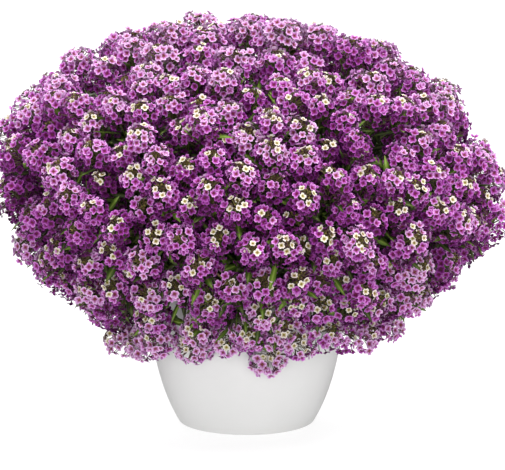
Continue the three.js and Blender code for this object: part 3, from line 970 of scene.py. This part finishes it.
def dress_shoot(number, shapes, finishes):
    """Makes the twig and the leaves of one leafy shoot."""
    dice = random.Random(TWIG_SEED + number)
    node = f"leafy_shoot_{number:02d}"
    points = slices(node, TWIG_SLICES)
    stems = bmesh.new()
    radii = taper(TWIG_RADII, len(points), TWIG_SLICES - 1)
    stamp(stems, sweep(points, radii), Matrix(), TWIG_SHADE)
    leaves = bmesh.new()
    leafy(leaves, points, shapes["leaves"], TWIG_LEAVES, dice)
    for name, bm, kind in (("twig", stems, "stalks"), ("shoot_leaves", leaves, "leaves")):
        made = piece(f"{name}_{number:02d}", bm, kind, finishes)
        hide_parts(node)


def to_object(name, data):
    """Puts a mesh, lamp or camera into the scene."""
    made = bpy.data.objects.new(name, data)
    bpy.context.scene.collection.objects.link(made)
    return made


def piece(name, bm, kind, finishes):
    """Puts a finished bmesh into the scene as a piece that rides on the root body."""
    made = to_object(name, to_mesh(name, bm))
    made.data.materials.append(finishes[kind])
    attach(made, "root")
    return made


# ------------------------------------------------------ pot, mix and crown


def wall_line(inset, stretch, steps):
    """A stretch of the pot's curved wall as radius and height, set in by a thickness."""
    foot = Vector((POT_FOOT_RADIUS, 0))
    belly = Vector(POT_BELLY)
    rim = Vector((POT_RIM_RADIUS, POT_HEIGHT))
    line = []
    for step in range(steps + 1):
        t = blend(stretch, step / steps)
        place = foot * (1 - t) ** 2 + belly * 2 * t * (1 - t) + rim * t * t
        along = ((belly - foot) * (1 - t) + (rim - belly) * t).normalized()
        line.append((place.x - along.y * inset, place.y + along.x * inset))
    return line


def arc(centre, radius, start, end, steps):
    """An arc of an outline, from one angle to another in degrees."""
    angles = [math.radians(blend((start, end), i / steps)) for i in range(steps + 1)]
    return [(centre[0] + radius * math.cos(a), centre[1] + radius * math.sin(a)) for a in angles]


def turned(outline):
    """Spins an outline of radius and height once round the Z axis."""
    bm = bmesh.new()
    points = [bm.verts.new((radius * MM, 0, height * MM)) for radius, height in outline]
    edges = [bm.edges.new(pair) for pair in zip(points, points[1:])]
    bmesh.ops.spin(
        bm,
        geom=points + edges,
        axis=(0, 0, 1),
        angle=math.tau,
        steps=POT_SIDES,
        use_merge=True,
    )
    bmesh.ops.remove_doubles(bm, verts=bm.verts, dist=0.01 * MM)
    bmesh.ops.recalc_face_normals(bm, faces=bm.faces)
    return bm


def make_pot(finishes):
    """The pot: foot, wall, rolled rim and base, turned in one piece."""
    rim_centre = (POT_RIM_RADIUS - 0.6, POT_HEIGHT - 0.9)
    foot_centre = (POT_FOOT_RADIUS - 0.9, FOOT_ROUND)
    inner_centre = (POT_FOOT_RADIUS - 3.5, POT_FLOOR + INNER_ROUND)
    outline = [(0, 0), (POT_BASE_RING, 0)]
    outline += arc(foot_centre, FOOT_ROUND, -90, -31, 4)
    outline += wall_line(0, OUTER_STRETCH, 22)
    outline += arc(rim_centre, RIM_ROLL, -40, 170, 10)
    outline += wall_line(POT_WALL, INNER_STRETCH, 18)[::-1]
    outline += arc(inner_centre, INNER_ROUND, -20, -90, 4)
    outline += [(POT_BASE_RING, POT_FLOOR), (0, POT_FLOOR)]
    shell = turned(outline)
    soften(shell, 40)
    made = piece("pot_shell", shell, "pot", finishes)
    drill(made)
    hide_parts("pot")


def drill(pot):
    """Cuts the drain holes through the pot's base."""
    bm = bmesh.new()
    for hole in range(DRAIN_HOLES):
        angle = hole * math.tau / DRAIN_HOLES
        at = Vector((math.cos(angle), math.sin(angle), 0)) * DRAIN_RING * MM
        bmesh.ops.create_cone(
            bm,
            cap_ends=True,
            segments=24,
            radius1=DRAIN_RADIUS * MM,
            radius2=DRAIN_RADIUS * MM,
            depth=DRILL_LENGTH * MM,
            matrix=Matrix.Translation(at),
        )
    tool = to_object("drill", to_mesh("drill", bm))
    cut = pot.modifiers.new("drain_holes", "BOOLEAN")
    cut.object = tool
    cut.operation = "DIFFERENCE"
    cut.solver = "EXACT"
    bpy.context.view_layer.update()
    drilled = pot.evaluated_get(bpy.context.evaluated_depsgraph_get())
    mesh = bpy.data.meshes.new_from_object(drilled)
    pot.modifiers.remove(cut)
    pot.data = mesh
    bpy.data.objects.remove(tool)


def roughened(bm, cuts, crumb, depth, plain_below):
    """Gives a shape a skin of crumbs, except below a height."""
    bmesh.ops.subdivide_edges(bm, edges=bm.edges, cuts=cuts, use_grid_fill=True)
    bmesh.ops.triangulate(bm, faces=bm.faces)
    bm.normal_update()
    for point in bm.verts:
        if point.co.z >= plain_below * MM:
            lift = noise.fractal(point.co / (crumb * MM), *CRUMB_NOISE)
            point.co += point.normal * (lift - 0.5) * depth * MM
    soften(bm, 60)
    return bm


def make_mix(finishes):
    skin = roughened(merged("potting_mix"), cuts=2, crumb=6, depth=3, plain_below=MIX_EDGE)
    made = piece("crumbly_mix", skin, "mix", finishes)
    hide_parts("potting_mix")


def make_crown(finishes):
    skin = roughened(merged("root_crown"), cuts=4, crumb=5, depth=1.2, plain_below=CROWN_EDGE)
    made = piece("woody_crown", skin, "bark", finishes)
    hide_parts("root_crown")


# ------------------------------------------------------ floor, light, camera


def make_floor():
    bm = bmesh.new()
    bmesh.ops.create_circle(bm, cap_ends=True, segments=64, radius=FLOOR_RADIUS)
    floor = to_object("floor", to_mesh("floor", bm))
    floor.data.materials.append(floor_finish())


def make_sky():
    """A white studio: bright to look at, and a softer light that comes mostly from above."""
    world = bpy.data.worlds.new("studio")
    world.use_nodes = True
    world.node_tree.nodes.clear()
    start = Shade(world.node_tree)
    direction = start.node("ShaderNodeTexCoord", output="Generated")
    light = direction.axis(2).between(-0.3, 1.0) * (SKY_LIGHT[1] - SKY_LIGHT[0]) + SKY_LIGHT[0]
    seen = start.node("ShaderNodeLightPath", output="Is Camera Ray")
    sky = start.node("ShaderNodeBackground", inputs={
        "Color": grey(1),
        "Strength": light + seen * (1 - light),
    })
    start.node("ShaderNodeOutputWorld", inputs={"Surface": sky})
    bpy.context.scene.world = world


def make_lamps():
    for name, (energy, angle, direction) in LAMPS.items():
        lamp = bpy.data.lights.new(name, "SUN")
        lamp.energy = energy
        lamp.angle = math.radians(angle)
        made = to_object(name, lamp)
        made.rotation_euler = direction.to_track_quat("-Z", "Y").to_euler()
    bpy.context.scene.view_settings.view_transform = "Standard"


def make_camera():
    tilt = math.radians(CAMERA_TILT)
    camera = bpy.data.cameras.new("camera")
    camera.sensor_width = CAMERA_SENSOR
    camera.lens = CAMERA_LENS
    made = to_object("camera", camera)
    backwards = Vector((0, -math.cos(tilt), math.sin(tilt)))
    made.location = CAMERA_TARGET + backwards * CAMERA_DISTANCE
    made.rotation_euler = (math.radians(90) - tilt, 0, 0)
    bpy.context.scene.camera = made


# ----------------------------------------------------------------- assembly


def build():
    finishes = {
        "flowers": petal_finish(),
        "buds": bud_finish(),
        "stalks": green_finish(),
        "leaves": leaf_finish(),
        "pot": pot_finish(),
        "mix": mix_finish(),
        "bark": bark_finish(),
    }
    shapes = {
        "flowers": flower_stages(),
        "pedicel": pedicel(),
        "bud": bud(),
        "leaves": [leaf(curl) for curl in LEAF_CURLS],
    }
    numbers = numbered("flower_spray")
    sprays = {number: find_heads(f"flower_spray_{number:02d}") for number in numbers}
    every_head = [head for heads in sprays.values() for head in heads]
    for head in every_head:
        head.settle(every_head)
    for number, heads in sprays.items():
        dress_spray(number, heads, every_head, shapes, finishes)
    for number in numbered("leafy_shoot"):
        dress_shoot(number, shapes, finishes)
    make_pot(finishes)
    make_mix(finishes)
    make_crown(finishes)
    make_floor()
    make_sky()
    make_lamps()
    make_camera()


build()
